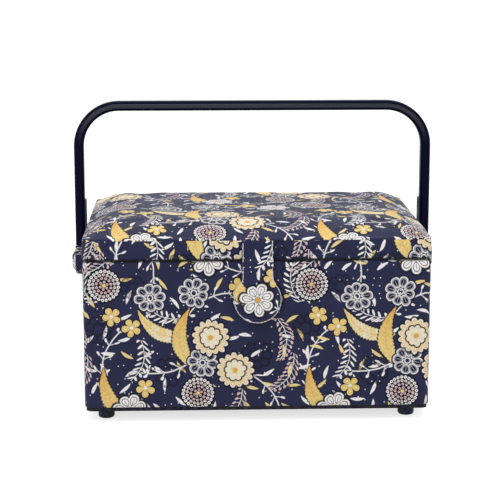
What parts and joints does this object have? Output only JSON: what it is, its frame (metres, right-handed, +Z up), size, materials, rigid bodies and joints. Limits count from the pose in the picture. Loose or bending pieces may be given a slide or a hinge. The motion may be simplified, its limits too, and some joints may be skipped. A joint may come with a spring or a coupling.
{
  "type": "sewing box with trays",
  "caption": "Fabric-covered sewing box with a padded hinged lid, a swinging handle, a snap-down closing tab, moulded feet and lift-out trays inside.",
  "frame": {"origin": "on the floor under the middle of the body", "axes": "+X to the right across the width, the front with the closing tab faces -Y, +Z up"},
  "size_m": [0.3534, 0.2425, 0.287],
  "materials": {
    "fibreboard": "plain unfinished fibreboard",
    "base_board": "board faced with black paper",
    "screw_steel": "zinc plated",
    "foot_plastic": "moulded satin",
    "printed_cotton": "navy cotton with a printed flower pattern",
    "lining_cotton": "plain cream cotton",
    "hinge_cloth": "navy bookcloth",
    "foam": "polyurethane foam",
    "elastic": "knitted elastic",
    "cushion_velvet": "mustard velvet",
    "snap_nickel": "nickel plated",
    "handle_plastic": "navy moulded plastic with a soft gloss",
    "plate_metal": "navy painted strip",
    "rivet_steel": "plated rivet",
    "tray_plastic": "ivory moulded plastic"
  },
  "bodies": {
    "box": {"back_board": "fibreboard", "front_board": "fibreboard", "left_board": "fibreboard", "right_board": "fibreboard", "floor_board": "fibreboard", "base_panel": "base_board", "foot_screws": "screw_steel", "front_left_foot": "foot_plastic", "front_right_foot": "foot_plastic", "back_left_foot": "foot_plastic", "back_right_foot": "foot_plastic", "body_cover": "printed_cotton", "body_lining": "lining_cotton", "right_tray_ledge": "lining_cotton", "left_tray_ledge": "lining_cotton", "body_hinge_tape": "hinge_cloth", "snap_socket": "snap_nickel"},
    "hinge_cloth_strip": {"hinge_strip": "hinge_cloth"},
    "lid": {"lid_back_rail": "fibreboard", "lid_front_rail": "fibreboard", "lid_left_rail": "fibreboard", "lid_right_rail": "fibreboard", "lid_top_board": "fibreboard", "lid_foam_pad": "foam", "lid_cover": "printed_cotton", "lid_lining": "lining_cotton", "lid_pocket": "lining_cotton", "pocket_elastic": "elastic", "pin_cushion": "cushion_velvet", "lid_hinge_tape": "hinge_cloth", "tab_root": "printed_cotton"},
    "closure_flap": {"tab_flap": "printed_cotton", "snap_stud": "snap_nickel"},
    "pivot_pins": {"right_pivot_pin": "rivet_steel", "left_pivot_pin": "rivet_steel"},
    "pivot_washers": {"right_pivot_washer": "rivet_steel", "left_pivot_washer": "rivet_steel"},
    "handle": {"handle_frame": "handle_plastic", "right_leg_plate": "plate_metal", "left_leg_plate": "plate_metal", "right_handle_end_cover": "printed_cotton", "left_handle_end_cover": "printed_cotton"},
    "lower_tray": {"lower_tray": "tray_plastic"},
    "upper_tray": {"upper_tray": "tray_plastic"}
  },
  "joints": [
    {"name": "lid_lower_fold", "type": "hinge", "parent": "box", "child": "hinge_cloth_strip", "pos_m": [0, 0.1192, 0.151], "axis": [-1, 0, 0], "range_deg": [0, 48]},
    {"name": "lid_upper_fold", "type": "hinge", "parent": "hinge_cloth_strip", "child": "lid", "pos_m": [0, 0.1192, 0.1543], "axis": [-1, 0, 0], "range_deg": [0, 48]},
    {"name": "pivot_pin_turn", "type": "hinge", "parent": "box", "child": "pivot_pins", "pos_m": [0, 0, 0.131], "axis": [-1, 0, 0], "range_deg": [0, 51]},
    {"name": "pivot_washer_turn", "type": "hinge", "parent": "pivot_pins", "child": "pivot_washers", "pos_m": [0, 0, 0.131], "axis": [-1, 0, 0], "range_deg": [0, 51]},
    {"name": "handle_swing", "type": "hinge", "parent": "pivot_washers", "child": "handle", "pos_m": [0, 0, 0.131], "axis": [-1, 0, 0], "range_deg": [-105, 0]},
    {"name": "lower_tray_lift", "type": "slide", "parent": "box", "child": "lower_tray", "axis": [0, 0, 1], "range_m": [0, 0.037]},
    {"name": "upper_tray_lift", "type": "slide", "parent": "lower_tray", "child": "upper_tray", "axis": [0, 0, 1], "range_m": [0, 0.037]},
    {"name": "tab_fold", "type": "hinge", "parent": "lid", "child": "closure_flap", "pos_m": [0, -0.123, 0.1548], "axis": [-1, 0, 0], "range_deg": [0, 120]}
  ],
  "couplings": [
    {"joint": "pivot_pin_turn", "follows": "lid_lower_fold", "ratio": 1.05},
    {"joint": "pivot_washer_turn", "follows": "lid_upper_fold", "ratio": 1.05},
    {"joint": "lower_tray_lift", "follows": "lid_lower_fold", "m_per_rad": 0.0435},
    {"joint": "upper_tray_lift", "follows": "lid_upper_fold", "m_per_rad": 0.0435}
  ]
}
